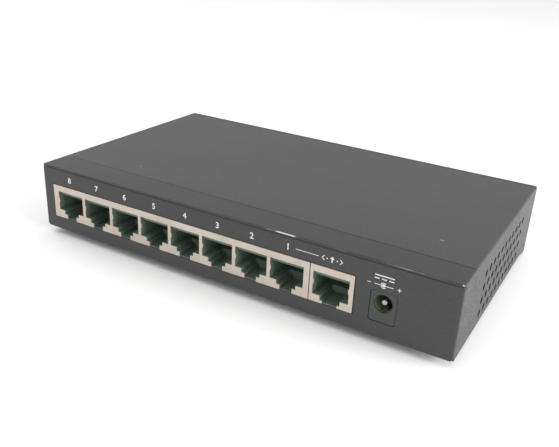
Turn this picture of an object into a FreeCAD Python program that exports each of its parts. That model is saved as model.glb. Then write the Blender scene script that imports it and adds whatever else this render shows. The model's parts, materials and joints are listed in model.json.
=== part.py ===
"""Eight-port desktop network switch with an uplink jack and a coaxial power jack.

Millimetres. The origin is on the resting plane, under the middle of the case.
+Z is up, the jacks face -Y, the status lights face +Y and the power jack is at +X.
"""
import FreeCAD
import Part
import math
import os

V = FreeCAD.Vector

# ---- driving dimensions -------------------------------------------------
CASE_W = 170.0          # across the port face
CASE_D = 98.5           # from the port face to the light face
CASE_H = 26.6           # case without its feet
FOOT_H = 2.9            # rubber feet below the case
SHEET = 0.8             # steel thickness of cover and pan
SEAM = 0.25             # gap between the cover's sides and the pan
LID_GAP = 0.15          # gap between the top sheet and the walls under it
CHIN_LEN = 11.0         # the floor slopes down over this length at the light end
CHIN_DROP = 2.7         # how far the chin hangs below the case floor

LIP_R = 0.6             # rounding of the top sheet's front edge
EDGE_R = 0.9            # outside bend radius along the cover's sides
WALL_FOOT_R = 1.3       # lower corners of the port wall, seen from the front
WALL_HEAD_R = 0.8       # upper corners
WALL_EDGE_R = 0.5       # rounding around the port wall's face
CREASE_Y = 12.0         # crease across the top, measured from the port face
CREASE_R = 0.5
CREASE_DEPTH = 0.28

VENT_R = 1.4
VENT_COLUMNS = 11
VENT_ROWS = 4
VENT_PITCH_Y = 5.15
VENT_PITCH_Z = 4.95
VENT_FIRST_Y = 26.8     # from the port face
VENT_FIRST_Z = 4.05     # from the case floor

PORTS = 8
PORT_PITCH = 13.97      # standard pitch of ganged modular jacks
PORT_FIRST_X = 14.09    # middle of port 8, from the case's left side
WINDOW_TOP_Z = 16.5     # top of every jack opening, above the case floor
# Jack openings: width, foot, width of the latch notch's two steps and the height between them.
# The earth fingers bulge in from the sides given: -1 is left, 1 is right.
BLOCK_WINDOW = {"wide": 12.7, "foot": 8.8, "notch": 7.4, "slot": 4.7, "step": 7.3, "fingers": (-1,)}
UPLINK_WINDOW = {"wide": 12.95, "foot": 8.15, "notch": 7.2, "slot": 5.4, "step": 6.5, "fingers": (-1, 1)}
CAVITY_IN = 0.1         # each cavity wall stands this far inside its opening
CAVITY_DEPTH = 12.0
GROOVE_DEPTH = 9.0      # latch groove, from the housing's front
FINGER_REACH = 0.35     # how far the earth fingers bulge into an opening
FINGER_MID_Z = 12.7     # above the case floor
JACK_DEPTH = 18.3
SHIELD_T = 0.3
JACK_GAP = 0.3          # between the jacks' shields and the port wall
SHIELD_FOOT_Z = 5.5     # above the case floor
SHIELD_TOP_Z = 18.85
BLOCK_X = (5.2, 120.3)  # block shield, from the case's left side
UPLINK_X = (120.6, 136.2)

WIRE_W = 0.36           # contact wires of a modular jack
WIRE_T = 0.25
WIRE_PITCH = 1.02
WIRES = 8

DC_X = 146.2            # middle of the power jack, from the case's left side
DC_HOLE_Z = 12.2        # above the case floor
DC_HOLE_R = 3.15
DC_PIN_R = 1.05
DC_DEPTH = 14.0
DC_WINDOW_W = 9.1       # opening in the port wall
DC_WINDOW_Z = (5.4, 16.4)
DC_WINDOW_R = 0.9

BOARD_T = 1.6
BOARD_TOP_Z = 5.4       # above the case floor

LIGHT_COLUMN_PITCH = 9.0
LIGHT_FIRST_X = 40.0
LIGHT_ROWS_Z = (12.0, 17.0)
POWER_LIGHT_X = 60.0
LIGHT_R = 1.5
BEZEL_T = 2.2
BEZEL_EDGE_R = 0.3

# ---- planes worked out from them ----------------------------------------
LEFT = -CASE_W / 2
RIGHT = CASE_W / 2
PORT_FACE = -CASE_D / 2
LIGHT_FACE = CASE_D / 2
FLOOR = FOOT_H
ROOF = FLOOR + CASE_H
BEZEL_BACK = LIGHT_FACE - BEZEL_T
COVER_END = BEZEL_BACK - 0.15
CHIN_START = LIGHT_FACE - CHIN_LEN
WALL_FACE = PORT_FACE + 0.15
WALL_TOP = ROOF - SHEET - LID_GAP
SIDE_START = WALL_FACE + SHEET + 0.2
PAN_X = RIGHT - SHEET - SEAM
BOARD_TOP = FLOOR + BOARD_TOP_Z
BOARD_FOOT = BOARD_TOP - BOARD_T
SHIELD_TOP = FLOOR + SHIELD_TOP_Z
SHIELD_FOOT = FLOOR + SHIELD_FOOT_Z
CAVITY_ROOF = FLOOR + WINDOW_TOP_Z
JACK_FRONT = PORT_FACE + SHIELD_T
BEHIND_WALL = WALL_FACE + SHEET + 0.15
FINGER_Z = FLOOR + FINGER_MID_Z
PIVOT_Y = PORT_FACE + 2.35
PIVOT_Z = CAVITY_ROOF - 0.6
DC_MID = LEFT + DC_X
DC_Z = FLOOR + DC_HOLE_Z
DC_FRONT = PORT_FACE + 0.25

TAB_Y = (-24.0, 28.0)   # cover tabs with the cover screws
TAB_X = 79.5
TAB_W = 10.0
SCREW_R = 1.45
STANDOFFS = [(x, y) for x in (-70.0, 70.0) for y in (-12.0, 36.0)]
FEET = [(x, y) for x in (-68.0, 68.0) for y in (-38.0, 26.0)]
SNAP_LEGS_X = (-62.0, 62.0)

# ---- board layout: middles of the parts, in X and Y ---------------------
SWITCH_CHIP_AT = (2.0, 16.0)
SWITCH_CHIP_W = 28.0
SWITCH_CHIP_H = 3.4
SINK_W = 26.0
SINK_FINS = 9
SINK_FIN_PITCH = 3.0
TRANSCEIVERS_X = (-48.0, 4.0)
TRANSCEIVERS_Y = -9.0
MAGNETICS_Y = -24.0
BUFFERS_AT = [(-36.0, 10.0), (-36.0, 24.0)]
SETUP_MEMORY_AT = (32.0, 30.0)
CRYSTAL_AT = (-54.0, 31.0)
OSCILLATOR_AT = (27.0, 4.0)
REGULATORS_X = (44.0, 58.0)
REGULATORS_Y = -8.0
INDUCTORS_AT = [(50.0, 14.0), (68.0, 14.0)]
FUSE_AT = (76.0, -13.0)
DIODE_AT = (76.0, -2.0)
BEADS_X = (48.0, 52.5, 57.0)
BEADS_Y = -17.5
LIGHT_RESISTORS_Y = 34.0
LINE_RESISTORS_Y = -17.4
# Electrolytic cans: X, Y, radius and height.
CAPACITORS = [(69, -25.5, 5.0, 12.0), (57, -27.5, 5.0, 12.0), (46, 26, 4.0, 9.0), (58, 26, 4.0, 9.0),
              (-70, 8, 3.15, 7.0), (-62, 20, 3.15, 7.0), (38, -22, 3.15, 7.0)]


# ---- helpers ------------------------------------------------------------
def box(x0, x1, y0, y1, z0, z1):
    return Part.makeBox(x1 - x0, y1 - y0, z1 - z0, V(x0, y0, z0))


def block(x, y, wide, deep, z0, z1):
    """A box centred on x, y."""
    return box(x - wide / 2, x + wide / 2, y - deep / 2, y + deep / 2, z0, z1)


def rod_x(x0, x1, y, z, radius):
    return Part.makeCylinder(radius, x1 - x0, V(x0, y, z), V(1, 0, 0))


def rod_y(x, y0, y1, z, radius):
    return Part.makeCylinder(radius, y1 - y0, V(x, y0, z), V(0, 1, 0))


def rod_z(x, y, z0, z1, radius):
    return Part.makeCylinder(radius, z1 - z0, V(x, y, z0))


def prism_x(points, x0, x1):
    """A closed Y-Z outline pushed from x0 to x1."""
    loop = [V(x0, y, z) for y, z in points]
    face = Part.Face(Part.makePolygon(loop + loop[:1]))
    return face.extrude(V(x1 - x0, 0, 0))


def join(shapes):
    first, *rest = shapes
    if not rest:
        return first
    return first.multiFuse(rest).removeSplitter()


def cut(shape, tools):
    return shape.cut(tools)


def group(shapes):
    return Part.makeCompound(shapes)


def round_edges(shape, radius, wanted):
    """Fillet the edges whose middle point passes the test."""
    edges = [e for e in shape.Edges if wanted(e.CenterOfMass, e)]
    return shape.makeFillet(radius, edges)


def near(value, target):
    return abs(value - target) < 0.01


def runs_along(edge, axis):
    if len(edge.Vertexes) != 2:
        return False
    step = edge.Vertexes[1].Point - edge.Vertexes[0].Point
    return near(abs(step.dot(axis)), step.Length)


def strip_x(points, thickness, x0, x1):
    """A bent strip: straight runs of the given thickness with round bends, x0 to x1 wide."""
    pieces = []
    for (ya, za), (yb, zb) in zip(points, points[1:]):
        length = math.hypot(yb - ya, zb - za)
        ny = -(zb - za) / length * thickness / 2
        nz = (yb - ya) / length * thickness / 2
        outline = [(ya + ny, za + nz), (yb + ny, zb + nz), (yb - ny, zb - nz), (ya - ny, za - nz)]
        pieces.append(prism_x(outline, x0, x1))
    for y, z in points:
        pieces.append(rod_x(x0, x1, y, z, thickness / 2))
    return join(pieces)


# ---- case ---------------------------------------------------------------
def side_profile(y0, y1, z0, z1):
    """Side outline of the case with its chin; z0 is the floor away from the chin."""
    slope = CHIN_DROP / CHIN_LEN
    drop = slope * (y1 - CHIN_START)
    return [(y0, z1), (y0, z0), (CHIN_START, z0), (y1, z0 - drop), (y1, z1)]


def vent_holes():
    holes = []
    for row in range(VENT_ROWS):
        for column in range(VENT_COLUMNS):
            y = PORT_FACE + VENT_FIRST_Y + VENT_PITCH_Y * column
            z = FLOOR + VENT_FIRST_Z + VENT_PITCH_Z * row
            holes.append(rod_x(LEFT - 1, RIGHT + 1, y, z, VENT_R))
    return holes


def cover_tabs():
    """Tabs folded in from the cover's sides, lying just above the pan's floor."""
    z0 = FLOOR + SHEET + 0.05
    tabs = []
    for side in (-1, 1):
        for y in TAB_Y:
            x0, x1 = sorted((side * (TAB_X - 3.5), side * (RIGHT - SHEET / 2)))
            tabs.append(box(x0, x1, y - TAB_W / 2, y + TAB_W / 2, z0, z0 + SHEET))
    return tabs


def top_cover():
    """Top and two sides; the top reaches over the port wall, the sides start behind it."""
    outer = prism_x(side_profile(PORT_FACE, COVER_END, FLOOR, ROOF), LEFT, RIGHT)
    outer = round_edges(outer, LIP_R, lambda c, e: near(c.y, PORT_FACE) and near(c.z, ROOF))
    outer = round_edges(
        outer, EDGE_R,
        lambda c, e: near(abs(c.x), RIGHT) and near(c.z, ROOF) and runs_along(e, V(0, 1, 0)))
    inside = box(LEFT + SHEET, RIGHT - SHEET, PORT_FACE - 1, LIGHT_FACE, -5, ROOF - SHEET)
    mouth = box(LEFT - 1, RIGHT + 1, PORT_FACE - 1, SIDE_START, -5, ROOF - SHEET)
    crease = rod_x(LEFT - 1, RIGHT + 1, PORT_FACE + CREASE_Y, ROOF + CREASE_R - CREASE_DEPTH, CREASE_R)
    shell = cut(outer, [inside, mouth, crease] + vent_holes())
    shell = join([shell] + cover_tabs())
    holes = [rod_z(side * TAB_X, y, FLOOR, FLOOR + 5, 1.5) for side in (-1, 1) for y in TAB_Y]
    return cut(shell, holes)


def port_wall_windows():
    gap = JACK_GAP
    jacks = box(LEFT + BLOCK_X[0] - gap, LEFT + UPLINK_X[1] + gap, WALL_FACE - 1, WALL_FACE + 2,
                SHIELD_FOOT - gap / 2, SHIELD_TOP + gap)
    z0, z1 = (FLOOR + z for z in DC_WINDOW_Z)
    power = block(DC_MID, WALL_FACE, DC_WINDOW_W, 4.0, z0, z1)
    power = round_edges(power, DC_WINDOW_R, lambda c, e: runs_along(e, V(0, 1, 0)))
    return [jacks, power]


def port_wall():
    """The pan's front wall, as wide as the whole case and rounded all around its face."""
    wall = box(LEFT, RIGHT, WALL_FACE, WALL_FACE + SHEET, FLOOR, WALL_TOP)
    wall = round_edges(wall, WALL_FOOT_R, lambda c, e: runs_along(e, V(0, 1, 0)) and near(c.z, FLOOR))
    wall = round_edges(wall, WALL_HEAD_R, lambda c, e: runs_along(e, V(0, 1, 0)) and near(c.z, WALL_TOP))
    return round_edges(wall, WALL_EDGE_R, lambda c, e: near(c.y, WALL_FACE))


def snap_leg_places():
    return [(x, z) for x in SNAP_LEGS_X for z in (FLOOR + 2.3, ROOF - 6.0)]


def base_pan():
    """Floor with its chin, port wall and light wall, each wall with a stiffening flange on top."""
    start = WALL_FACE + WALL_EDGE_R
    end = BEZEL_BACK
    solid = prism_x(side_profile(start, end, FLOOR, WALL_TOP), -PAN_X, PAN_X)
    hollow = prism_x(
        side_profile(WALL_FACE + SHEET, end - SHEET, FLOOR + SHEET, WALL_TOP - SHEET), -90, 90)
    roof = box(-90, 90, WALL_FACE + 7, end - 5, FLOOR + SHEET, ROOF)
    pan = join([cut(solid, [hollow, roof]), port_wall()])
    flanges = []
    for side in (-1, 1):
        x0, x1 = sorted((side * (PAN_X - SHEET), side * PAN_X))
        flanges.append(box(x0, x1, WALL_FACE + SHEET, CHIN_START, FLOOR + SHEET / 2, FLOOR + 3.0))
    pan = join([pan] + flanges)
    light_slot = box(LIGHT_FIRST_X - 7 * LIGHT_COLUMN_PITCH - 4, POWER_LIGHT_X + 4, end - 2, end + 1,
                     LIGHT_ROWS_Z[0] - 2.4, LIGHT_ROWS_Z[1] + 2.4)
    tools = port_wall_windows() + [light_slot]
    for side in (-1, 1):
        for y in TAB_Y:
            tools.append(rod_z(side * TAB_X, y, FLOOR - 1, FLOOR + 2, 1.6))
            tools.append(block(side * (PAN_X - 1), y, 4, 12, FLOOR + SHEET, FLOOR + 4))
    for x, y in STANDOFFS:
        tools.append(rod_z(x, y, FLOOR - 1, FLOOR + 2, 2.0))
    for x, y in FEET:
        tools.append(rod_z(x, y, FLOOR - 1, FLOOR + 2, 1.6))
    for x, z in snap_leg_places():
        tools.append(block(x, end, 6.2, 6, z - 0.7, z + 0.7))
    return cut(pan, tools)


def light_places():
    """X and Z of every status light: one for power, then two rows for the ports."""
    places = [(POWER_LIGHT_X, LIGHT_ROWS_Z[1])]
    for column in range(PORTS):
        x = LIGHT_FIRST_X - LIGHT_COLUMN_PITCH * column
        places += [(x, z) for z in LIGHT_ROWS_Z]
    return places


def led_bezel():
    foot = FLOOR - CHIN_DROP
    plate = box(LEFT, RIGHT, BEZEL_BACK, LIGHT_FACE, foot, ROOF)
    plate = round_edges(
        plate, EDGE_R, lambda c, e: near(abs(c.x), RIGHT) and runs_along(e, V(0, 1, 0)))
    plate = round_edges(plate, BEZEL_EDGE_R, lambda c, e: near(c.y, LIGHT_FACE))
    panel = box(LIGHT_FIRST_X - 7 * LIGHT_COLUMN_PITCH - 8, POWER_LIGHT_X + 10,
                LIGHT_FACE - 0.4, LIGHT_FACE + 1, 7.5, 25.0)
    holes = [rod_y(x, BEZEL_BACK - 1, LIGHT_FACE + 1, z, LIGHT_R + 0.15) for x, z in light_places()]
    plate = cut(plate, [panel] + holes)
    legs = []
    for x, z in snap_leg_places():
        side = 1 if z > FLOOR + CASE_H / 2 else -1
        legs.append(block(x, BEZEL_BACK - 1.8, 6.0, 4.0, z - 0.6, z + 0.6))
        hook = [(BEZEL_BACK - 1.05, z), (BEZEL_BACK - 1.05, z + side * 1.2),
                (BEZEL_BACK - 3.8, z + side * 0.5), (BEZEL_BACK - 3.8, z)]
        legs.append(prism_x(hook, x - 3, x + 3))
    return join([plate] + legs)


def rubber_feet():
    feet = []
    for x, y in FEET:
        cone = Part.makeCone(5.6, 6.2, FOOT_H, V(x, y, 0))
        cone = round_edges(cone, 0.6, lambda c, e: near(c.z, 0))
        feet.append(join([cone, rod_z(x, y, FOOT_H - 0.1, FOOT_H + SHEET, 1.55)]))
    return group(feet)


def hex_post(x, y, z0, z1, radius):
    turns = [math.radians(60 * i) for i in range(6)]
    corners = [V(x + radius * math.cos(a), y + radius * math.sin(a), z0) for a in turns]
    return Part.Face(Part.makePolygon(corners + corners[:1])).extrude(V(0, 0, z1 - z0))


def cross_recess(x, y, z0, z1):
    """The cutters for the cross in a screw head."""
    return [block(x, y, 2.4, 0.5, z0, z1), block(x, y, 0.5, 2.4, z0, z1)]


def cover_screws():
    screws = []
    for side in (-1, 1):
        for y in TAB_Y:
            x = side * TAB_X
            head = rod_z(x, y, FLOOR - 1.4, FLOOR, 2.8)
            head = round_edges(head, 0.7, lambda c, e: near(c.z, FLOOR - 1.4))
            head = cut(head, cross_recess(x, y, FLOOR - 1.5, FLOOR - 0.6))
            screws.append(join([head, rod_z(x, y, FLOOR - 0.1, FLOOR + 3.4, SCREW_R)]))
    return group(screws)


def board_standoffs():
    """Hexagonal posts pressed into the pan, with a threaded hole for the board screw."""
    posts = []
    for x, y in STANDOFFS:
        post = hex_post(x, y, FLOOR + SHEET, BOARD_FOOT, 2.9)
        post = join([post, rod_z(x, y, FLOOR, FLOOR + SHEET + 0.1, 2.0)])
        posts.append(cut(post, [rod_z(x, y, FLOOR + 0.4, BOARD_FOOT + 1, 1.25)]))
    return group(posts)


def board_screws():
    screws = []
    for x, y in STANDOFFS:
        head = rod_z(x, y, BOARD_TOP, BOARD_TOP + 1.6, 2.6)
        head = round_edges(head, 0.8, lambda c, e: near(c.z, BOARD_TOP + 1.6))
        head = cut(head, cross_recess(x, y, BOARD_TOP + 0.8, BOARD_TOP + 2))
        screws.append(join([head, rod_z(x, y, BOARD_TOP - 3.4, BOARD_TOP + 0.1, 1.2)]))
    return group(screws)


def main_board():
    board = box(-82.2, 82.2, WALL_FACE + SHEET + 0.5, BEZEL_BACK - SHEET - 0.6, BOARD_FOOT, BOARD_TOP)
    tools = [rod_z(x, y, BOARD_FOOT - 1, BOARD_TOP + 1, 1.5) for x, y in STANDOFFS]
    for side in (-1, 1):
        for y in TAB_Y:
            tools.append(block(side * 79.2, y, 7.8, 12.0, BOARD_FOOT - 1, BOARD_TOP + 1))
    return cut(board, tools)


# ---- modular jacks ------------------------------------------------------
def port_middle(index):
    """Index 0 is port 8, index 7 is port 1, index 8 is the uplink."""
    if index < PORTS:
        return LEFT + PORT_FIRST_X + PORT_PITCH * index
    return LEFT + (UPLINK_X[0] + UPLINK_X[1]) / 2 - 0.2


def latch_notch(x, window, y0, y1, foot):
    """The two-step notch under a jack opening, down to the given foot."""
    floor = FLOOR + window["foot"]
    step = FLOOR + window["step"]
    notch = window["notch"] / 2
    slot = window["slot"] / 2
    return [box(x - notch, x + notch, y0, y1, step, floor + 0.1),
            box(x - slot, x + slot, y0, y1, foot, step + 0.1)]


def jack_opening(x, window, y0, y1, inset):
    half = window["wide"] / 2 - inset
    return box(x - half, x + half, y0, y1, FLOOR + window["foot"], CAVITY_ROOF)


def jack_housing(x0, x1, middles, window):
    """Black moulding with one cavity per port, a latch groove under it and a comb for the wires."""
    body = box(x0, x1, JACK_FRONT, PORT_FACE + JACK_DEPTH - SHIELD_T, BOARD_TOP, SHIELD_TOP - SHIELD_T)
    half = window["wide"] / 2 - CAVITY_IN
    tools = []
    for x in middles:
        tools.append(jack_opening(x, window, JACK_FRONT - 1, JACK_FRONT + CAVITY_DEPTH, CAVITY_IN))
        tools += latch_notch(x, window, JACK_FRONT - 1, JACK_FRONT + GROOVE_DEPTH, BOARD_TOP + 0.4)
    tools.append(box(x0 - 1, x1 + 1, JACK_FRONT - 1, BEHIND_WALL, BOARD_TOP - 1, SHIELD_FOOT))
    body = cut(body, tools)
    combs = [box(x - half, x + half, PIVOT_Y - 1.4, PIVOT_Y - 0.6, PIVOT_Z - 0.7, CAVITY_ROOF)
             for x in middles]
    return join([body] + combs)


def shield_fingers(x, window):
    """Earth fingers that bulge in from the sides of an opening."""
    fingers = []
    rim = window["wide"] / 2
    mid = FINGER_Z
    for side in window["fingers"]:
        x0, x1 = sorted((side * (rim - FINGER_REACH), side * (rim + 0.1)))
        finger = box(x + x0, x + x1, PORT_FACE, JACK_FRONT, mid - 0.9, mid + 0.9)
        tip = side * (rim - FINGER_REACH)
        fingers.append(round_edges(
            finger, 0.3, lambda c, e, tip=x + tip: near(c.x, tip) and runs_along(e, V(0, 1, 0))))
    return fingers


def jack_shield(x0, x1, middles, window):
    """Tinned sheet around a jack: front with its openings, top, sides and back, open below."""
    back = PORT_FACE + JACK_DEPTH
    outer = box(x0, x1, PORT_FACE, back, BOARD_TOP, SHIELD_TOP)
    outer = round_edges(outer, 0.35, lambda c, e: near(c.y, PORT_FACE) and near(c.z, SHIELD_TOP))
    inner = box(
        x0 + SHIELD_T, x1 - SHIELD_T, JACK_FRONT, back - SHIELD_T, BOARD_TOP - 1, SHIELD_TOP - SHIELD_T)
    below = box(x0 - 1, x1 + 1, PORT_FACE - 1, BEHIND_WALL, BOARD_TOP - 1, SHIELD_FOOT)
    tools = [inner, below]
    for x in middles:
        tools.append(jack_opening(x, window, PORT_FACE - 1, JACK_FRONT, 0))
        tools += latch_notch(x, window, PORT_FACE - 1, JACK_FRONT, BOARD_TOP - 1)
    shell = cut(outer, tools)
    fingers = []
    for x in middles:
        fingers += shield_fingers(x, window)
    return join([shell] + fingers)


def contact_wires(x):
    """Eight sprung wires that hang from the comb and slope back into the cavity."""
    path = [(PIVOT_Y, PIVOT_Z), (PIVOT_Y + 6.6, PIVOT_Z - 2.25), (PIVOT_Y + 7.6, PIVOT_Z - 1.95)]
    wires = []
    for i in range(WIRES):
        mid = x + (i - (WIRES - 1) / 2) * WIRE_PITCH
        x0, x1 = mid - WIRE_W / 2, mid + WIRE_W / 2
        wires.append(join([strip_x(path, WIRE_T, x0, x1), rod_x(x0, x1, PIVOT_Y, PIVOT_Z, 0.34)]))
    return group(wires)


def port_block_middles():
    return [port_middle(i) for i in range(PORTS)]


def port_block_housing():
    x0, x1 = LEFT + BLOCK_X[0], LEFT + BLOCK_X[1]
    return jack_housing(x0 + SHIELD_T, x1 - SHIELD_T, port_block_middles(), BLOCK_WINDOW)


def port_block_shield():
    x0, x1 = LEFT + BLOCK_X[0], LEFT + BLOCK_X[1]
    return jack_shield(x0, x1, port_block_middles(), BLOCK_WINDOW)


def uplink_housing():
    x0, x1 = LEFT + UPLINK_X[0], LEFT + UPLINK_X[1]
    return jack_housing(x0 + SHIELD_T, x1 - SHIELD_T, [port_middle(PORTS)], UPLINK_WINDOW)


def uplink_shield():
    x0, x1 = LEFT + UPLINK_X[0], LEFT + UPLINK_X[1]
    return jack_shield(x0, x1, [port_middle(PORTS)], UPLINK_WINDOW)


# ---- power jack ---------------------------------------------------------
def dc_jack_body():
    """Moulding whose front fills the port wall's window, with the plug's bore and the leaf's slot."""
    gap = 0.1
    z0, z1 = (FLOOR + z for z in DC_WINDOW_Z)
    snout = block(DC_MID, DC_FRONT + 2, DC_WINDOW_W - 2 * gap, 4.0, z0 + gap, z1 - gap)
    snout = round_edges(snout, DC_WINDOW_R - gap, lambda c, e: runs_along(e, V(0, 1, 0)))
    snout = round_edges(snout, 0.2, lambda c, e: near(c.y, DC_FRONT))
    rear = box(DC_MID - 4.4, DC_MID + 4.4, DC_FRONT + 2, DC_FRONT + DC_DEPTH, BOARD_TOP, z1 - 0.4)
    body = join([snout, rear])
    bore = rod_y(DC_MID, DC_FRONT - 1, DC_FRONT + 9.5, DC_Z, DC_HOLE_R)
    slot = box(DC_MID - 1.25, DC_MID + 1.25, DC_FRONT + 1, DC_FRONT + 9.5, BOARD_TOP - 1, DC_Z)
    return cut(body, [bore, slot])


def dc_jack_pin():
    seat = DC_FRONT + 9.5
    tip = DC_FRONT + 0.9
    shank = rod_y(DC_MID, tip, seat, DC_Z, DC_PIN_R)
    return round_edges(shank, 0.6, lambda c, e: near(c.y, tip))


def dc_jack_spring():
    """Leaf that presses on the plug's sleeve from below; it turns about its root."""
    root = (DC_FRONT + 8.6, DC_Z - DC_HOLE_R - 2.3)
    path = [root, (DC_FRONT + 3.6, DC_Z - DC_HOLE_R + 0.72), (DC_FRONT + 1.8, DC_Z - DC_HOLE_R - 0.9)]
    x0, x1 = DC_MID - 0.95, DC_MID + 0.95
    return join([strip_x(path, 0.3, x0, x1), rod_x(x0, x1, root[0], root[1], 0.45)])


def dc_jack_terminals():
    """Flat solder lugs on the back and under the power jack."""
    back = DC_FRONT + DC_DEPTH
    rear = box(DC_MID - 1.5, DC_MID + 1.5, back, back + 0.4, BOARD_TOP, DC_Z - 1)
    side = box(DC_MID + 4.4, DC_MID + 4.8, back - 6, back - 3, BOARD_TOP, DC_Z - 2)
    return group([rear, side])


# ---- status lights ------------------------------------------------------
def led_holder():
    """Black right-angle holders on the board's edge, one per column."""
    face = BEZEL_BACK - 3.6
    blocks = []
    columns = [(POWER_LIGHT_X, [LIGHT_ROWS_Z[1]])]
    columns += [(LIGHT_FIRST_X - LIGHT_COLUMN_PITCH * i, LIGHT_ROWS_Z) for i in range(PORTS)]
    for x, rows in columns:
        body = block(x, face - 3.0, 4.6, 6.0, BOARD_TOP, rows[-1] + 2.1)
        body = cut(body, [rod_y(x, face - 4.5, face + 1, z, LIGHT_R) for z in rows])
        blocks.append(body)
    return group(blocks)


def status_leds():
    lights = []
    for x, z in light_places():
        stem = rod_y(x, BEZEL_BACK - 3.6 - 4.5, LIGHT_FACE - 1.9, z, LIGHT_R)
        dome = Part.makeSphere(LIGHT_R, V(x, LIGHT_FACE - 1.9, z))
        lights.append(join([stem, dome]))
    return group(lights)


# ---- board parts --------------------------------------------------------
def standing(at, wide, deep, height):
    """A box standing on the board, centred on a place of the layout."""
    x, y = at
    return block(x, y, wide, deep, BOARD_TOP, BOARD_TOP + height)


def round_top(shape, radius, top):
    return round_edges(shape, radius, lambda c, e: near(c.z, top))


def chip(at, wide, deep, height):
    """A moulded package with a pin-one dimple."""
    x, y = at
    top = BOARD_TOP + height
    body = round_top(standing(at, wide, deep, height), 0.25, top)
    return cut(body, [rod_z(x - wide / 2 + 1.6, y - deep / 2 + 1.6, top - 0.2, top + 1, 0.6)])


def switch_chip():
    body = standing(SWITCH_CHIP_AT, SWITCH_CHIP_W, SWITCH_CHIP_W, SWITCH_CHIP_H)
    return round_top(body, 0.3, BOARD_TOP + SWITCH_CHIP_H)


def heat_sink():
    """Extruded aluminium sink stuck to the switch chip."""
    x, y = SWITCH_CHIP_AT
    foot = BOARD_TOP + SWITCH_CHIP_H
    first = x - SINK_FIN_PITCH * (SINK_FINS - 1) / 2
    base = block(x, y, SINK_W, SINK_W, foot, foot + 2.0)
    fins = [block(first + SINK_FIN_PITCH * i, y, 1.1, SINK_W, foot + 1.9, foot + 9.0)
            for i in range(SINK_FINS)]
    return join([base] + fins)


def transceiver_chips():
    return group([chip((x, TRANSCEIVERS_Y), 20, 14, 2.8) for x in TRANSCEIVERS_X])


def magnetics_modules():
    """One isolating transformer module behind each pair of ports."""
    modules = []
    for pair in range(PORTS // 2):
        x = (port_middle(2 * pair) + port_middle(2 * pair + 1)) / 2
        modules.append(chip((x, MAGNETICS_Y), 22, 9.5, 5.8))
    return group(modules)


def buffer_memory():
    return group([chip(at, 20.9, 10.2, 1.2) for at in BUFFERS_AT])


def setup_memory():
    return group([chip(SETUP_MEMORY_AT, 4.9, 3.9, 1.6)])


def metal_can(at, wide, deep, height, corner):
    can = standing(at, wide, deep, height)
    can = round_edges(can, corner, lambda c, e: runs_along(e, V(0, 0, 1)))
    return round_top(can, 0.5, BOARD_TOP + height)


def clock_crystal():
    return metal_can(CRYSTAL_AT, 11.0, 4.6, 3.6, 2.0)


def clock_oscillator():
    return metal_can(OSCILLATOR_AT, 12.7, 12.7, 4.6, 1.2)


def voltage_regulators():
    """Two surface-mounted regulators, each moulding on its metal tab."""
    parts = []
    for x in REGULATORS_X:
        body = block(x, REGULATORS_Y, 10.0, 8.7, BOARD_TOP + 0.2, BOARD_TOP + 4.6)
        tab = standing((x, REGULATORS_Y + 5.8), 10.0, 2.9, 1.3)
        parts.append(join([body, tab, standing((x, REGULATORS_Y + 2.0), 9.0, 6.0, 1.3)]))
    return group(parts)


def power_inductors():
    """Drum-core inductors: two flanges with the winding between them."""
    drums = []
    for x, y in INDUCTORS_AT:
        foot = rod_z(x, y, BOARD_TOP, BOARD_TOP + 1.2, 5.0)
        winding = rod_z(x, y, BOARD_TOP + 1.1, BOARD_TOP + 5.6, 4.3)
        cap = rod_z(x, y, BOARD_TOP + 5.5, BOARD_TOP + 6.8, 5.0)
        drums.append(join([foot, winding, cap]))
    return group(drums)


def bulk_capacitors():
    """Electrolytic cans, each with the groove that holds its rubber plug."""
    cans = []
    for x, y, radius, height in CAPACITORS:
        top = BOARD_TOP + height
        can = round_top(rod_z(x, y, BOARD_TOP, top, radius), 0.5, top)
        neck = rod_z(x, y, BOARD_TOP + 1.2, BOARD_TOP + 1.8, radius + 1)
        neck = cut(neck, [rod_z(x, y, BOARD_TOP, BOARD_TOP + 3, radius - 0.25)])
        cans.append(cut(can, [neck]))
    return group(cans)


def input_fuse():
    return round_top(standing(FUSE_AT, 4.5, 8.0, 4.0), 0.5, BOARD_TOP + 4.0)


def input_diode():
    return round_top(standing(DIODE_AT, 3.6, 6.8, 2.3), 0.3, BOARD_TOP + 2.3)


def ferrite_beads():
    return group([standing((x, BEADS_Y), 2.0, 3.2, 1.6) for x in BEADS_X])


def chip_capacitors():
    """Ceramic decouplers around the larger chips."""
    places = [(-18.0, 2.0 + 4 * i) for i in range(8)]
    places += [(20.0, 14.0 + 4 * i) for i in range(5)]
    places += [(x + 3.5 * i - 8, 0.5) for x in TRANSCEIVERS_X for i in range(5)]
    return group([standing(at, 1.25, 2.0, 0.9) for at in places])


def chip_resistors():
    """Current limiters for the lights, and terminators between the transformers and transceivers."""
    columns = [LIGHT_FIRST_X - LIGHT_COLUMN_PITCH * i for i in range(PORTS)]
    places = [(x + dx, LIGHT_RESISTORS_Y) for x in columns for dx in (-1.6, 1.6)]
    places += [(POWER_LIGHT_X, LIGHT_RESISTORS_Y)]
    places += [(x + 3.0 * i, LINE_RESISTORS_Y) for x in (-64.0, -44.0, -16.0, 12.0) for i in range(4)]
    return group([standing(at, 1.25, 2.0, 0.5) for at in places])


def resistor_networks():
    columns = [x + dx for x in TRANSCEIVERS_X for dx in (-14.0, 18.0)]
    places = [(x, TRANSCEIVERS_Y + dy) for x in columns for dy in (-3.2, 3.2)]
    return group([standing(at, 3.2, 1.6, 0.6) for at in places])


# ---- list of nodes ------------------------------------------------------
def contact_nodes():
    nodes = {f"port_{PORTS - i}_contacts": contact_wires(port_middle(i)) for i in range(PORTS)}
    nodes["uplink_contacts"] = contact_wires(port_middle(PORTS))
    return nodes


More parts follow.
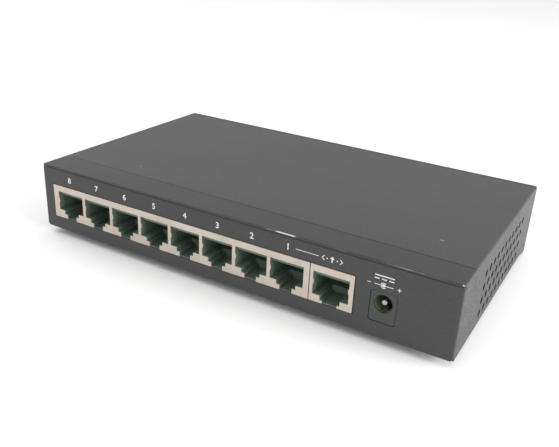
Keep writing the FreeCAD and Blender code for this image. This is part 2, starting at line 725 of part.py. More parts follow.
SINGLE_NODES = [
    top_cover, base_pan, led_bezel, rubber_feet, cover_screws,
    board_standoffs, board_screws, main_board,
    port_block_housing, port_block_shield, uplink_housing, uplink_shield,
    dc_jack_body, dc_jack_pin, dc_jack_spring, dc_jack_terminals,
    led_holder, status_leds,
    switch_chip, heat_sink, transceiver_chips, magnetics_modules,
    buffer_memory, setup_memory, clock_crystal, clock_oscillator,
    voltage_regulators, power_inductors, bulk_capacitors,
    input_fuse, input_diode, ferrite_beads,
    chip_capacitors, chip_resistors, resistor_networks,
]


def main():
    os.makedirs("parts", exist_ok=True)
    nodes = {make.__name__: make() for make in SINGLE_NODES}
    nodes.update(contact_nodes())
    for name, shape in nodes.items():
        if not shape.isValid():
            raise ValueError(f"{name} is not a valid shape")
        shape.exportStep(f"parts/{name}.step")
        print(f"{name}: {len(shape.Solids)} solids, {shape.Volume:.1f} mm3")


main()
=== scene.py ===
"""Looks for the desktop network switch: camera, studio, materials, printing and fine detail.

Metres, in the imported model's own frame: the jacks face -Y, the status lights face +Y, +Z is up.
"""
import json
import math

import bmesh
import bpy
from mathutils import Matrix, Vector


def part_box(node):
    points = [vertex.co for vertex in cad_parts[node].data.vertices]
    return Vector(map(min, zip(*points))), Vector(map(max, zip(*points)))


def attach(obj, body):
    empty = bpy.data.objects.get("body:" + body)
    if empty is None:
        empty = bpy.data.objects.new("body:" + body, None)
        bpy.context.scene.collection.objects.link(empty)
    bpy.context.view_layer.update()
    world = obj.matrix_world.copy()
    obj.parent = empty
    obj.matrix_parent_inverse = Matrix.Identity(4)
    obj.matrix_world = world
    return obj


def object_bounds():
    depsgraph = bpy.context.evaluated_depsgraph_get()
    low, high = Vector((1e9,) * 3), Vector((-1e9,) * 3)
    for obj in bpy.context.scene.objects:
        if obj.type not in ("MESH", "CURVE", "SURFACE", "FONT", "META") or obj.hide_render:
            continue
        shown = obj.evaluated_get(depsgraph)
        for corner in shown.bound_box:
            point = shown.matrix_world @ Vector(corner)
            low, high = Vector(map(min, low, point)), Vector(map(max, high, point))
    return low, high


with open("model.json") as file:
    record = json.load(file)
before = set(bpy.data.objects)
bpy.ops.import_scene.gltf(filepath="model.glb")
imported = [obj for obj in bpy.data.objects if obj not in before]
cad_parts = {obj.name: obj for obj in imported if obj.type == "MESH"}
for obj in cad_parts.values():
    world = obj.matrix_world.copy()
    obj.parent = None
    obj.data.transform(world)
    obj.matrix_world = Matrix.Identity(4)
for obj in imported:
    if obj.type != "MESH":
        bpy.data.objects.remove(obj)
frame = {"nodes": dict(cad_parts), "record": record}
CAD_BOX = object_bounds()

MM = 0.001
LOW, HIGH = CAD_BOX
NODES = frame["nodes"]
WALL_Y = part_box("base_pan")[0].y        # outer face of the port wall
BEZEL_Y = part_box("led_bezel")[1].y      # outer face of the bezel
BOARD_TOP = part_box("main_board")[1].z
PORTS = 8
CASE_H = 26.6 * MM                      # case without its feet
FLOOR = HIGH.z - CASE_H                 # underside of the case, above the resting plane
LABEL_Z = FLOOR + 22.05 * MM            # middle of the printed row over the jacks
PANEL_SUNK = 0.4 * MM                   # depth of the bezel's panel below its face
STRIP_LEN = 11.8 * MM                   # strip of the top between the front edge and the crease
INK = 0.03 * MM                         # thickness of printed marks
FIGURE_H = 2.2 * MM                     # height of the port numbers
FIGURE_BOLD = 0.055 * MM                # how far a figure's outline is pushed out
BEZEL_FIGURE_H = 2.0 * MM               # height of the numbers over the status lights
CAPITAL = 0.70                          # a capital's height, as a share of the font size
ROUND = 28                              # straight sides in a round outline


# ---- camera -------------------------------------------------------------
AZIMUTH = math.radians(29.21)           # the camera stands to the right of the port face
ELEVATION = math.radians(24.107)
ROLL = math.radians(2.999)
DISTANCE = 278.0 * MM
AIM = Vector((-2.21, -3.54, 8.90)) * MM     # the point it looks at
LENS_MM = 44.134


def make_camera():
    back = Vector((math.sin(AZIMUTH) * math.cos(ELEVATION),
                   -math.cos(AZIMUTH) * math.cos(ELEVATION),
                   math.sin(ELEVATION)))
    data = bpy.data.cameras.new("camera")
    data.sensor_width = 36.0
    data.lens = LENS_MM
    data.clip_start = 0.01
    data.clip_end = 20.0
    camera = bpy.data.objects.new("camera", data)
    bpy.context.scene.collection.objects.link(camera)
    camera.rotation_mode = "QUATERNION"
    camera.location = AIM + back * DISTANCE
    level = (-back).to_track_quat("-Z", "Y")
    camera.rotation_quaternion = level @ Matrix.Rotation(ROLL, 4, "Z").to_quaternion()
    bpy.context.scene.camera = camera


# ---- shader helper ------------------------------------------------------
class Shader:
    """A material's node tree, with short calls for the nodes that repeat."""

    def __init__(self, name, **settings):
        self.material = bpy.data.materials.new(name)
        self.material.use_nodes = True
        self.tree = self.material.node_tree
        self.bsdf = self.tree.nodes["Principled BSDF"]
        self.coords = None
        self.split = None
        for socket, value in settings.items():
            self.bsdf.inputs[socket.replace("_", " ")].default_value = value

    def node(self, kind, **inputs):
        made = self.tree.nodes.new(kind)
        for key, value in inputs.items():
            self.feed(made.inputs[key.replace("_", " ")], value)
        return made

    def feed(self, socket, value):
        if isinstance(value, bpy.types.NodeSocket):
            self.tree.links.new(value, socket)
        else:
            socket.default_value = value

    def place(self):
        """Object coordinates in metres, which ride with the piece."""
        if self.coords is None:
            self.coords = self.tree.nodes.new("ShaderNodeTexCoord").outputs["Object"]
        return self.coords

    def axis(self, name):
        if self.split is None:
            self.split = self.node("ShaderNodeSeparateXYZ", Vector=self.place())
        return self.split.outputs[name]

    def noise(self, scale, detail=3.0, roughness=0.5, vector=None):
        made = self.node("ShaderNodeTexNoise", Vector=vector or self.place(), Scale=scale,
                         Detail=detail, Roughness=roughness)
        return made.outputs["Fac"]

    def voronoi(self, scale):
        made = self.node("ShaderNodeTexVoronoi", Vector=self.place(), Scale=scale)
        return made.outputs["Distance"]

    def stretch(self, x, y, z):
        """The piece's coordinates, scaled along each axis."""
        made = self.node("ShaderNodeMapping", Vector=self.place(), Scale=(x, y, z))
        return made.outputs["Vector"]

    def math(self, operation, a, b):
        made = self.tree.nodes.new("ShaderNodeMath")
        made.operation = operation
        self.feed(made.inputs[0], a)
        self.feed(made.inputs[1], b)
        return made.outputs[0]

    def ramp(self, value, low, high, out_low=0.0, out_high=1.0):
        """Maps low..high onto out_low..out_high, held at the ends."""
        made = self.node("ShaderNodeMapRange", Value=value)
        made.inputs["From Min"].default_value = low
        made.inputs["From Max"].default_value = high
        made.inputs["To Min"].default_value = out_low
        made.inputs["To Max"].default_value = out_high
        return made.outputs["Result"]

    def mix(self, factor, a, b):
        made = self.tree.nodes.new("ShaderNodeMix")
        made.data_type = "RGBA"
        self.feed(made.inputs[0], factor)
        self.feed(made.inputs[6], a)
        self.feed(made.inputs[7], b)
        return made.outputs[2]

    def scale(self, tone, level):
        """A colour made darker or lighter by a number."""
        made = self.tree.nodes.new("ShaderNodeVectorMath")
        made.operation = "SCALE"
        self.feed(made.inputs[0], tone)
        self.feed(made.inputs["Scale"], level)
        return made.outputs[0]

    def colour(self, value):
        self.feed(self.bsdf.inputs["Base Color"], value)

    def roughness(self, value):
        self.feed(self.bsdf.inputs["Roughness"], value)

    def bump(self, height, distance, strength=1.0):
        made = self.node("ShaderNodeBump", Height=height, Strength=strength, Distance=distance)
        if self.bsdf.inputs["Normal"].links:
            self.feed(made.inputs["Normal"], self.bsdf.inputs["Normal"].links[0].from_socket)
        self.feed(self.bsdf.inputs["Normal"], made.outputs["Normal"])


def grey(value, tint=(1.0, 1.0, 1.0)):
    return (value * tint[0], value * tint[1], value * tint[2], 1.0)


# ---- materials ----------------------------------------------------------
TINT = (0.96, 1.0, 0.975)               # the paint's greys lean slightly to green


def band(shader, axis, low, high, soft):
    """1 between low and high on an axis, falling to 0 over the soft distance on each side."""
    value = shader.axis(axis)
    rise = shader.ramp(value, low - soft, low)
    fall = shader.ramp(value, high, high + soft, 1.0, 0.0)
    return shader.math("MULTIPLY", rise, fall)


def front_arris(shader, x0, x1, soft, width):
    """1 along the front top edge of the cover, from x0 to x1; width is how far it reaches down and back."""
    along = band(shader, "X", x0, x1, soft)
    depth = band(shader, "Y", LOW.y - 1 * MM, LOW.y + width * 0.5, width * 0.5)
    height = band(shader, "Z", HIGH.z - width, HIGH.z + 1 * MM, width * 0.4)
    return shader.math("MULTIPLY", along, shader.math("MULTIPLY", depth, height))


def scuff(shader, x0, x1, soft, width, strength, gaps):
    """Part of the front edge coloured as bare steel; gaps is a mask that breaks it up."""
    edge = front_arris(shader, x0 * MM, x1 * MM, soft * MM, width * MM)
    return shader.math("MULTIPLY", edge, shader.math("MULTIPLY", gaps, strength))


# Marks on the front edge, in mm: from x, to x, softness, width, strength, and the noise that breaks it up.
SCRAPE = (23.0, 28.4, 1.4, 0.34, 1.0, (0.28, 0.40))
SCRAPE_TAIL = (19.5, 23.0, 2.0, 0.25, 0.35, (0.35, 0.50))
# A pale run and a pale corner on the front edge, coloured as bare steel.
PALE_EDGE_RUN = (46.0, 72.0, 8.0, 0.28, 0.34, (0.42, 0.62))
PALE_CORNER = (84.2, 86.0, 0.3, 0.35, 0.8, None)
SPECKS = ((69.0, -23.9, 1.2), (-52.2, -29.1, 0.3))      # small chips on the top: x, y and length
SPECK_STRENGTH = 0.3


def speck(shader, x, y, length):
    along = band(shader, "X", x * MM, (x + length) * MM, 0.3 * MM)
    across = band(shader, "Y", y * MM, (y + 0.3) * MM, 0.25 * MM)
    return shader.math("MULTIPLY", shader.math("MULTIPLY", along, across), SPECK_STRENGTH)


def cover_wear(shader):
    """Bare steel colour: one scrape with its tail, a pale run and a pale corner on the front edge, and two
    chips.
    """
    broken = shader.noise(260.0, 3.0, 0.6, shader.stretch(0.35, 1.0, 1.0))
    marks = []
    for *shape, limits in (SCRAPE, SCRAPE_TAIL, PALE_EDGE_RUN, PALE_CORNER):
        gaps = shader.ramp(broken, *limits) if limits else 1.0
        marks.append(scuff(shader, *shape, gaps))
    marks += [speck(shader, *place) for place in SPECKS]
    worn = marks[0]
    for mark in marks[1:]:
        worn = shader.math("MAXIMUM", worn, mark)
    return worn


def side_mottle(shader):
    """A coarse mottle on the two outer side faces, 0 everywhere else; in the bump it is relief, in the
    colour it is painted sheen, the blotchy glint of grazing light on the sides.
    """
    left = band(shader, "X", LOW.x - 1 * MM, LOW.x + 0.1 * MM, 0.3 * MM)
    right = band(shader, "X", HIGH.x - 0.1 * MM, HIGH.x + 1 * MM, 0.3 * MM)
    relief_and_sheen = shader.ramp(shader.noise(900.0, 2.0, 0.6), 0.35, 0.65, -0.5, 0.5)
    return shader.math("MULTIPLY", shader.math("MAXIMUM", left, right), relief_and_sheen)


def front_strip(shader):
    """1 on the strip of the top in front of the crease, 0 elsewhere; it places the painted shade that
    darkens that strip.
    """
    return shader.math("MULTIPLY", band(shader, "Y", LOW.y - 1 * MM, LOW.y + STRIP_LEN, 0.3 * MM),
                       band(shader, "Z", HIGH.z - 0.3 * MM, HIGH.z + 1 * MM, 0.5 * MM))


BARE_STEEL = grey(0.66, (1.0, 0.98, 0.94))


def powder_coat(name, base, contrast, wear=None, strip_shade=1.0):
    """Charcoal textured paint; wear gives the bare steel, and the strip factor paints shade that darkens
    the strip before the crease.
    """
    shader = Shader(name, Metallic=0.0, Specular_IOR_Level=0.5)
    grain = shader.noise(2600.0, 2.0, 0.6)
    pebble = shader.voronoi(1500.0)
    smudge = shader.noise(22.0, 4.0, 0.55)
    dust = shader.noise(5200.0, 1.0, 0.5)
    speckle = shader.ramp(shader.noise(1500.0, 2.0, 0.7), 0.32, 0.68, 1.0 - contrast, 1.0 + contrast)
    # Painted shade: the strip in front of the crease is darkened by the strip factor.
    level = shader.math("MULTIPLY", speckle, shader.ramp(front_strip(shader), 0.0, 1.0, 1.0, strip_shade))
    relief_and_sheen = side_mottle(shader)
    # Painted sheen: the side mottle lightens and darkens the colour of the two side faces only.
    level = shader.math("MULTIPLY", level, shader.math("ADD", relief_and_sheen, 1.0))
    tone = shader.mix(shader.ramp(smudge, 0.35, 0.65), grey(base * 0.92, TINT), grey(base * 1.08, TINT))
    tone = shader.scale(tone, level)
    tone = shader.mix(shader.math("MULTIPLY", shader.ramp(dust, 0.70, 0.76), 0.3), tone, grey(base * 3.0))
    if wear:
        worn = wear(shader)
        tone = shader.mix(worn, tone, BARE_STEEL)
        shader.feed(shader.bsdf.inputs["Metallic"], shader.math("MULTIPLY", worn, 0.4))
    shader.colour(tone)
    uneven = shader.math("ADD", smudge, shader.math("MULTIPLY", grain, 0.4))
    shader.roughness(shader.ramp(uneven, 0.4, 1.0, 0.44, 0.58))
    relief = shader.math("ADD", grain, shader.math("MULTIPLY", pebble, 0.8))
    relief = shader.math("ADD", relief, shader.math("MULTIPLY", relief_and_sheen, 3.0))
    shader.bump(relief, 0.4 * contrast * MM, 0.9)
    return shader.material


def tinned_sheet():
    """Satin tin plate with a rolled grain along X and faint stains."""
    shader = Shader("tinned_sheet", Metallic=0.85)
    rolled = shader.noise(900.0, 3.0, 0.6, shader.stretch(0.08, 1.0, 1.0))
    stain = shader.noise(120.0, 4.0, 0.6)
    bright = grey(0.57, (1.0, 0.87, 0.75))
    dull = grey(0.49, (1.0, 0.88, 0.76))
    shader.colour(shader.mix(shader.ramp(stain, 0.35, 0.7), bright, dull))
    shader.roughness(shader.ramp(shader.math("ADD", rolled, stain), 0.7, 1.3, 0.30, 0.52))
    shader.bump(rolled, 0.02 * MM, 0.3)
    return shader.material


def plated_metal(name, colour, roughness):
    """Plated or bare metal with fine scratches and an uneven sheen."""
    shader = Shader(name, Metallic=1.0)
    scratch = shader.noise(700.0, 4.0, 0.7, shader.stretch(0.25, 1.0, 1.0))
    cloud = shader.noise(260.0, 2.0, 0.5)
    dark = tuple(c * 0.8 for c in colour[:3]) + (1.0,)
    shader.colour(shader.mix(shader.ramp(cloud, 0.3, 0.7), dark, colour))
    shader.roughness(shader.ramp(scratch, 0.3, 0.7, roughness * 0.75, roughness * 1.3))
    shader.bump(scratch, 0.01 * MM, 0.25)
    return shader.material


def moulded_plastic(name, colour, roughness, grain=0.02, painted_bore_light=None):
    """Moulded plastic with eroded grain and flow marks; the bore argument is painted light in a bore: a
    lighter tone standing for light reflected inside it, and the Y where it starts.
    """
    shader = Shader(name, Metallic=0.0, Specular_IOR_Level=0.5)
    texture = shader.noise(3800.0, 2.0, 0.6)
    flow = shader.noise(60.0, 3.0, 0.5)
    light = tuple(min(1.0, c * 1.35 + 0.004) for c in colour[:3]) + (1.0,)
    tone = shader.mix(shader.ramp(flow, 0.35, 0.7), colour, light)
    if painted_bore_light:
        inner, start = painted_bore_light
        # Painted reflection: past the given depth the colour turns to the bore's lighter tone.
        tone = shader.mix(shader.ramp(shader.axis("Y"), start, start + 0.3 * MM), tone, inner)
    shader.colour(tone)
    uneven = shader.math("ADD", texture, flow)
    shader.roughness(shader.ramp(uneven, 0.6, 1.4, roughness * 0.85, roughness * 1.15))
    shader.bump(texture, grain * MM, 0.5)
    return shader.material


def rubber():
    shader = Shader("foot_rubber", Metallic=0.0, Specular_IOR_Level=0.35)
    crumb = shader.noise(2400.0, 3.0, 0.7)
    dust = shader.noise(300.0, 3.0, 0.6)
    shader.colour(shader.mix(shader.ramp(dust, 0.45, 0.75), grey(0.014), grey(0.05, (1.0, 0.97, 0.92))))
    shader.roughness(shader.ramp(dust, 0.3, 0.7, 0.72, 0.88))
    shader.bump(crumb, 0.03 * MM, 0.5)
    return shader.material


def solder_mask():
    """Green solder mask; copper fill under it shows as a lighter green, with the weave beneath."""
    shader = Shader("solder_mask", Metallic=0.0, Specular_IOR_Level=0.55)
    weave = shader.node("ShaderNodeTexBrick", Vector=shader.place(), Scale=1.0)
    weave.inputs["Brick Width"].default_value = 0.9 * MM
    weave.inputs["Row Height"].default_value = 0.9 * MM
    weave.inputs["Mortar Size"].default_value = 0.12 * MM
    fill = shader.ramp(shader.noise(48.0, 1.0, 0.3), 0.5, 0.51)
    tone = shader.mix(fill, (0.006, 0.055, 0.022, 1.0), (0.012, 0.095, 0.035, 1.0))
    tone = shader.mix(shader.math("MULTIPLY", weave.outputs["Fac"], 0.18), tone, (0.02, 0.13, 0.05, 1.0))
    shader.colour(tone)
    shader.roughness(shader.ramp(shader.noise(900.0), 0.3, 0.7, 0.22, 0.34))
    shader.bump(shader.noise(1400.0, 2.0, 0.5), 0.01 * MM, 0.4)
    return shader.material


def led_resin():
    shader = Shader("led_resin", Roughness=0.12, Specular_IOR_Level=0.5)
    cloud = shader.noise(900.0, 2.0, 0.5)
    shader.colour(shader.mix(cloud, (0.25, 0.52, 0.22, 1.0), (0.42, 0.66, 0.34, 1.0)))
    shader.bsdf.inputs["Transmission Weight"].default_value = 0.35
    return shader.material


def printing_ink(name, colour):
    """Screen-printed ink, slightly thin in places."""
    shader = Shader(name, Metallic=0.0)
    thin = shader.noise(1600.0, 3.0, 0.6)
    faded = tuple(c * 0.72 for c in colour[:3]) + (1.0,)
    shader.colour(shader.mix(shader.ramp(thin, 0.4, 0.62), faded, colour))
    shader.roughness(shader.ramp(thin, 0.3, 0.7, 0.5, 0.65))
    return shader.material


def make_materials():
    return {
        # The 0.70 is painted shade on the strip of the top in front of the crease.
        "cover_paint": powder_coat("cover_paint", 0.036, 0.16, cover_wear, 0.70),
        "pan_paint": powder_coat("pan_paint", 0.034, 0.12),
        "bezel_plastic": moulded_plastic("bezel_plastic", grey(0.022), 0.5),
        "foot_rubber": rubber(),
        "screw_zinc": plated_metal("screw_zinc", grey(0.62, (1.0, 1.0, 0.97)), 0.34),
        "standoff_steel": plated_metal("standoff_steel", grey(0.60, (1.0, 0.98, 0.94)), 0.36),
        "board_green": solder_mask(),
        # The jack plastic's green-grey is painted light: the real moulding is black, drawn lighter and
        # greener for the light seen inside the jacks.
        "jack_plastic": moulded_plastic("jack_plastic", (0.080, 0.118, 0.092, 1.0), 0.6),
        "shield_tin": tinned_sheet(),
        "wire_gold": plated_metal("wire_gold", (0.72, 0.50, 0.20, 1.0), 0.30),
        # The power jack's bore is drawn lighter olive: painted reflection of the light inside the bore.
        "dc_plastic": moulded_plastic("dc_plastic", (0.028, 0.031, 0.029, 1.0), 0.46, 0.01,
                                      painted_bore_light=((0.15, 0.20, 0.11, 1.0), LOW.y + 0.75 * MM)),
        "pin_nickel": plated_metal("pin_nickel", grey(0.42, (1.0, 1.0, 0.9)), 0.28),
        # The spring's dark brownish grey is painted shade: nickel drawn dark for the shade deep in the
        # power jack's bore.
        "spring_nickel": plated_metal("spring_nickel", grey(0.10, (1.0, 0.95, 0.74)), 0.5),
        "lug_tin": plated_metal("lug_tin", grey(0.68, (1.0, 0.99, 0.96)), 0.38),
        "holder_plastic": moulded_plastic("holder_plastic", grey(0.016), 0.5),
        "led_resin": led_resin(),
        "chip_resin": moulded_plastic("chip_resin", grey(0.020, (1.0, 1.0, 1.05)), 0.6, 0.03),
        "sink_aluminium": plated_metal("sink_aluminium", grey(0.035), 0.42),
        "magnetics_resin": moulded_plastic("magnetics_resin", grey(0.014), 0.38),
        "can_metal": plated_metal("can_metal", grey(0.68, (1.0, 0.99, 0.97)), 0.24),
        "ferrite": moulded_plastic("ferrite", grey(0.045, (1.0, 0.98, 0.96)), 0.55, 0.04),
        "capacitor_sleeve": moulded_plastic("capacitor_sleeve", (0.012, 0.018, 0.06, 1.0), 0.3, 0.005),
        "fuse_body": moulded_plastic("fuse_body", (0.50, 0.36, 0.13, 1.0), 0.35),
        "ceramic_tan": moulded_plastic("ceramic_tan", (0.33, 0.22, 0.13, 1.0), 0.4),
        "resistor_black": moulded_plastic("resistor_black", grey(0.02), 0.35),
        "white_ink": printing_ink("white_ink", grey(0.78)),
        "dark_ink": printing_ink("dark_ink", grey(0.03)),
        "copper_wire": plated_metal("copper_wire", (0.70, 0.28, 0.12, 1.0), 0.28),
        "trace_mask": moulded_plastic("trace_mask", (0.014, 0.12, 0.045, 1.0), 0.25, 0.005),
    }


def dress_nodes(materials):
    for part in frame["record"]["subparts"]:
        node = NODES[part["node"]]
        finish = materials[part["material_slot"]]
        node.data.materials.clear()
        node.data.materials.append(finish)


# ---- mesh helper --------------------------------------------------------
class Sketch:
    """Collects boxes, discs, outlines and strips into one mesh."""

    def __init__(self):
        self.bm = bmesh.new()

    def brick(self, middle, size):
        place = Matrix.Translation(middle) @ Matrix.Diagonal((*size, 1.0))
        bmesh.ops.create_cube(self.bm, size=1.0, matrix=place)

    def disc(self, centre, radius, height):
        """A flat disc standing on its centre."""
        middle = Vector(centre) + Vector((0, 0, height / 2))
        bmesh.ops.create_cone(
            self.bm, cap_ends=True, segments=ROUND, radius1=radius, radius2=radius, depth=height,
            matrix=Matrix.Translation(middle))

    def outline(self, points, low, high, place):
        """A flat outline in the place's X-Y plane, pushed from low to high along its Z."""
        bottom = [self.bm.verts.new(place @ Vector((x, y, low))) for x, y in points]
        top = [self.bm.verts.new(place @ Vector((x, y, high))) for x, y in points]
        self.bm.faces.new(list(reversed(bottom)))
        self.bm.faces.new(top)
        for i in range(len(points)):
            j = (i + 1) % len(points)
            self.bm.faces.new([bottom[i], bottom[j], top[j], top[i]])

    def bar(self, x0, x1, y0, y1, place, high=INK):
        self.outline([(x0, y0), (x1, y0), (x1, y1), (x0, y1)], 0, high, place)

    def line(self, points, width, high, place):
        """A flat strip of even width along a bent line, with mitred bends."""
        points = [Vector(p) for p in points]
        left, right = [], []
        for i, point in enumerate(points):
            before = (point - points[i - 1]).normalized() if i else None
            after = (points[i + 1] - point).normalized() if i + 1 < len(points) else None
            way = (before or after) + (after or before)
            way.normalize()
            side = Vector((-way.y, way.x))
            stretch = 1.0 / max(0.5, way.dot(after or before))
            left.append(point + side * width / 2 * stretch)
            right.append(point - side * width / 2 * stretch)
        self.outline([tuple(p) for p in right + left[::-1]], 0, high, place)

    def ring(self, centre, outer, inner, high, place, start=0.0, turn=math.tau, steps=ROUND):
        """A flat ring, or part of one, in the place's X-Y plane."""
        closed = turn >= math.tau - 1e-6
        count = steps if closed else steps + 1
        loops = []
        for radius, z in ((outer, 0.0), (outer, high), (inner, high), (inner, 0.0)):
            angles = [start + turn * i / steps for i in range(count)]
            loops.append([self.bm.verts.new(place @ Vector((
                centre[0] + radius * math.cos(a), centre[1] + radius * math.sin(a), z))) for a in angles])
        for i in range(steps):
            j = (i + 1) % count
            for k in range(4):
                one, two = loops[k], loops[(k + 1) % 4]
                self.bm.faces.new([one[i], one[j], two[j], two[i]])
        if not closed:
            self.bm.faces.new([loop[0] for loop in loops])
            self.bm.faces.new([loop[-1] for loop in reversed(loops)])

    def coil(self, centre, radius, wire):
        """One turn of round wire around a vertical axis."""
        loops = []
        for i in range(ROUND):
            a = math.tau * i / ROUND
            ring = []
            for j in range(6):
                b = math.tau * j / 6
                reach = radius + wire * math.cos(b)
                ring.append(self.bm.verts.new((
                    centre[0] + reach * math.cos(a), centre[1] + reach * math.sin(a),
                    centre[2] + wire * math.sin(b))))
            loops.append(ring)
        for i in range(ROUND):
            one, two = loops[i], loops[(i + 1) % ROUND]
            for j in range(6):
                k = (j + 1) % 6
                self.bm.faces.new([one[j], two[j], two[k], one[k]])

    def text(self, words, height, place):
        """Flat printed figures, centred on the place."""
        curve = bpy.data.curves.new("figures", "FONT")
        curve.body = words
        curve.size = height / CAPITAL
        curve.align_x = "CENTER"
        curve.align_y = "CENTER"
        curve.extrude = INK / 2
        curve.offset = FIGURE_BOLD
        curve.resolution_u = 3
        holder = bpy.data.objects.new("figures", curve)
        bpy.context.scene.collection.objects.link(holder)
        bpy.context.view_layer.update()
        mesh = bpy.data.meshes.new_from_object(holder)
        mesh.transform(place @ Matrix.Translation((0, 0, INK / 2)))
        self.bm.from_mesh(mesh)
        bpy.data.meshes.remove(mesh)
        bpy.data.objects.remove(holder)
        bpy.data.curves.remove(curve)

    def finish(self, name, body, material, slot, smooth=False):
        bmesh.ops.recalc_face_normals(self.bm, faces=self.bm.faces)
        mesh = bpy.data.meshes.new(name)
        self.bm.to_mesh(mesh)
        self.bm.free()
        made = bpy.data.objects.new(name, mesh)
        bpy.context.scene.collection.objects.link(made)
        mesh.materials.append(material)
        if smooth:
            mesh.shade_smooth()
            mesh.set_sharp_from_angle(angle=math.radians(40))
        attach(made, body)


def solids(name):
    """The box of each separate solid in a CAD node, in order along X, then Y."""
    bm = bmesh.new()
    bm.from_mesh(NODES[name].data)
    bmesh.ops.remove_doubles(bm, verts=bm.verts, dist=0.001 * MM)
    waiting = set(bm.verts)
    boxes = []
    while waiting:
        seed = waiting.pop()
        island, frontier = [seed], [seed]
        while frontier:
            vert = frontier.pop()
            for edge in vert.link_edges:
                other = edge.other_vert(vert)
                if other in waiting:
                    waiting.remove(other)
                    island.append(other)
                    frontier.append(other)
        low = Vector([min(v.co[i] for v in island) for i in range(3)])
        high = Vector([max(v.co[i] for v in island) for i in range(3)])
        boxes.append((low, high))
    bm.free()
    return sorted(boxes, key=lambda box: (round(box[0].x, 4), round(box[0].y, 4)))


def middle_x(name):
    low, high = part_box(name)
    return (low.x + high.x) / 2


# ---- printing -----------------------------------------------------------
def wall_place(x, z):
    """On the port wall: X to the right, Y up, Z out of the wall."""
    return Matrix(((1, 0, 0, x), (0, 0, -1, WALL_Y), (0, 1, 0, z), (0, 0, 0, 1)))


def bezel_place(x, z):
    """On the bezel's sunk panel, seen from the light side."""
    return Matrix(((-1, 0, 0, x), (0, 0, 1, BEZEL_Y - PANEL_SUNK), (0, 1, 0, z), (0, 0, 0, 1)))


def board_place(x, y):
    """On top of the board: X right, Y to the light side, Z up."""
    return Matrix.Translation((x, y, BOARD_TOP))


def port_numbers(ink):
    sketch = Sketch()
    for number in range(1, PORTS + 1):
        sketch.text(str(number), FIGURE_H, wall_place(middle_x(f"port_{number}_contacts"), LABEL_Z))
    sketch.finish("port_numbers", "base", ink, "pan_paint")


def uplink_mark(ink):
    """A rule from port 1 to the uplink jack's mark: an arrow up, between dots and brackets."""
    sketch = Sketch()
    middle = middle_x("uplink_contacts") - 0.3 * MM
    left = middle_x("port_1_contacts") + 2.9 * MM
    place = wall_place(middle, LABEL_Z + 0.05 * MM)
    rule_end, half = -4.7 * MM, 0.1 * MM
    sketch.bar(left - middle, rule_end, -half, half, place)
    head = [(0.85, 0.15), (0.0, 1.1), (-0.85, 0.15)]
    arrow = [(-0.22, 0.15), (-0.22, -1.0), (0.22, -1.0), (0.22, 0.15)] + head
    sketch.outline([(x * MM, y * MM) for x, y in arrow], 0, INK, place)
    for side in (-1, 1):
        bracket = [(side * 2.7 * MM, 0.85 * MM), (side * 3.6 * MM, 0.0), (side * 2.7 * MM, -0.85 * MM)]
        sketch.line(bracket, 0.24 * MM, INK, place)
        sketch.ring((side * 1.75 * MM, 0), 0.24 * MM, 0.02 * MM, INK, place, steps=12)
    sketch.finish("uplink_mark", "base", ink, "pan_paint")


def power_marks(ink):
    """The direct-current sign, and under it the polarity sign: minus, ring and dot, plus."""
    sketch = Sketch()
    middle = middle_x("dc_jack_pin") - 0.5 * MM
    sign = wall_place(middle, FLOOR + 21.2 * MM)
    sketch.bar(-3.2 * MM, 3.2 * MM, 0.35 * MM, 0.72 * MM, sign)
    for i in (-1, 0, 1):
        sketch.bar((i * 2.4 - 0.8) * MM, (i * 2.4 + 0.8) * MM, -0.72 * MM, -0.35 * MM, sign)
    row = wall_place(middle, FLOOR + 18.6 * MM)
    half = 0.11 * MM
    sketch.ring((0, 0), 1.0 * MM, 0.78 * MM, INK, row, math.radians(40), math.radians(280))
    sketch.ring((0, 0), 0.55 * MM, 0.02 * MM, INK, row)
    for left, right in ((-5.4, -4.3), (-3.0, -1.15), (0.55, 3.2), (4.55, 5.75)):
        sketch.bar(left * MM, right * MM, -half, half, row)
    sketch.bar(5.15 * MM - half, 5.15 * MM + half, -0.6 * MM, 0.6 * MM, row, INK * 1.3)
    sketch.finish("power_marks", "base", ink, "pan_paint")


def bezel_marks(ink):
    """Port figures over the light columns, and a power sign over the single light."""
    sketch = Sketch()
    lights = sorted({round((low.x + high.x) / 2, 5) for low, high in solids("status_leds")})
    top = max(high.z for low, high in solids("status_leds"))
    *ports, power = lights
    for number, x in enumerate(ports, 1):
        sketch.text(str(number), BEZEL_FIGURE_H, bezel_place(x, top + 2.1 * MM))
    for x0, x1 in zip(ports, ports[1:]):
        sketch.bar(-0.06 * MM, 0.06 * MM, -4.2 * MM, 4.2 * MM, bezel_place((x0 + x1) / 2, top - 4.0 * MM))
    sign = bezel_place(power, top + 2.2 * MM)
    sketch.ring((0, 0), 1.0 * MM, 0.78 * MM, INK, sign, math.radians(122), math.radians(296))
    sketch.bar(-0.11 * MM, 0.11 * MM, 0.0, 1.2 * MM, sign)
    sketch.finish("bezel_marks", "base", ink, "bezel_plastic")


# ---- board detail -------------------------------------------------------
LEAD_T = 0.14 * MM                      # thickness of a lead
LEAD_W = 0.42                           # width of a lead, as a share of the pitch
LEAD_MARGIN = 1.6 * MM                  # of a package's side, left without leads


def lead_profile(reach, drop, thick):
    """Side view of a gull-wing lead: out from the package, down, and out again to its foot."""
    return [(-0.1 * MM, drop), (reach * 0.35, drop), (reach * 0.6, thick), (reach, thick),
            (reach, 0.0), (reach * 0.5, 0.0), (reach * 0.3, drop - thick), (-0.1 * MM, drop - thick)]


def lead_row(sketch, start, step, out, count, width, reach, drop):
    """Leads along a package edge; start is the first lead's place at board level."""
    side = Vector((0, 0, 1)).cross(out)
    for i in range(count):
        at = start + step * i
        place = Matrix(((out.x, 0, side.x, at.x), (out.y, 0, side.y, at.y), (0, 1, 0, at.z), (0, 0, 0, 1)))
        sketch.outline(lead_profile(reach, drop, LEAD_T), -width / 2, width / 2, place)


